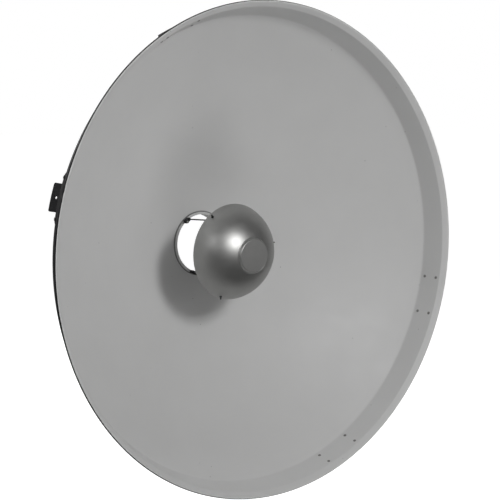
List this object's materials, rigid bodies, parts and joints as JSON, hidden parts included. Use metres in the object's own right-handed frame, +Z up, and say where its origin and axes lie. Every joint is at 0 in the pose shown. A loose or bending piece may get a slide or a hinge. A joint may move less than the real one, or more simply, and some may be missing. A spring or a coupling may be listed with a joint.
{
  "type": "parabolic dish reflector",
  "caption": "Round solid-skin parabolic dish with a steep rim band, an open central hub and a satin bowl deflector on wire legs in front of the hub.",
  "frame": {"origin": "centre of the hub bore at the rear face of the hub sleeve", "axes": "the dish axis is Y and the open front faces -Y; +Z is up, with the dish turned about its axis as it is used"},
  "size_m": [0.8999, 0.2431, 0.9],
  "materials": {
    "grey_paint": "satin light grey powder coat",
    "black_paint": "matt black paint",
    "galvanised_wire": "dull zinc",
    "black_rubber": "matt",
    "grey_fibre": "matt fibre washer",
    "black_plastic": "moulded, slightly textured",
    "clip_screw_steel": "zinc plated",
    "spring_steel": "dark drawn wire",
    "satin_aluminium": "bead-blasted satin",
    "rivet_steel": "darkened steel"
  },
  "bodies": {
    "dish": {"dish_shell": "grey_paint", "rim_wire": "galvanised_wire", "hub_sleeve": "grey_paint", "hub_gasket": "black_rubber", "hub_washer": "grey_fibre", "hub_lock_ring": "black_paint", "leg_clip_1": "black_plastic", "leg_clip_screw_1": "clip_screw_steel", "leg_clip_2": "black_plastic", "leg_clip_screw_2": "clip_screw_steel", "leg_clip_3": "black_plastic", "leg_clip_screw_3": "clip_screw_steel", "rim_bracket_1": "black_paint", "bracket_rivets_1": "rivet_steel", "rim_bracket_2": "black_paint", "bracket_rivets_2": "rivet_steel", "rim_bracket_3": "black_paint", "bracket_rivets_3": "rivet_steel", "rim_bracket_4": "black_paint", "bracket_rivets_4": "rivet_steel"},
    "deflector": {"deflector_bowl": "satin_aluminium", "leg_wire_1": "spring_steel", "leg_grommet_1": "black_rubber", "leg_wire_2": "spring_steel", "leg_grommet_2": "black_rubber", "leg_wire_3": "spring_steel", "leg_grommet_3": "black_rubber"}
  },
  "joints": [
    {"name": "deflector_pull", "type": "slide", "parent": "dish", "child": "deflector", "axis": [0, -1, 0], "range_m": [0, 0.12]}
  ]
}
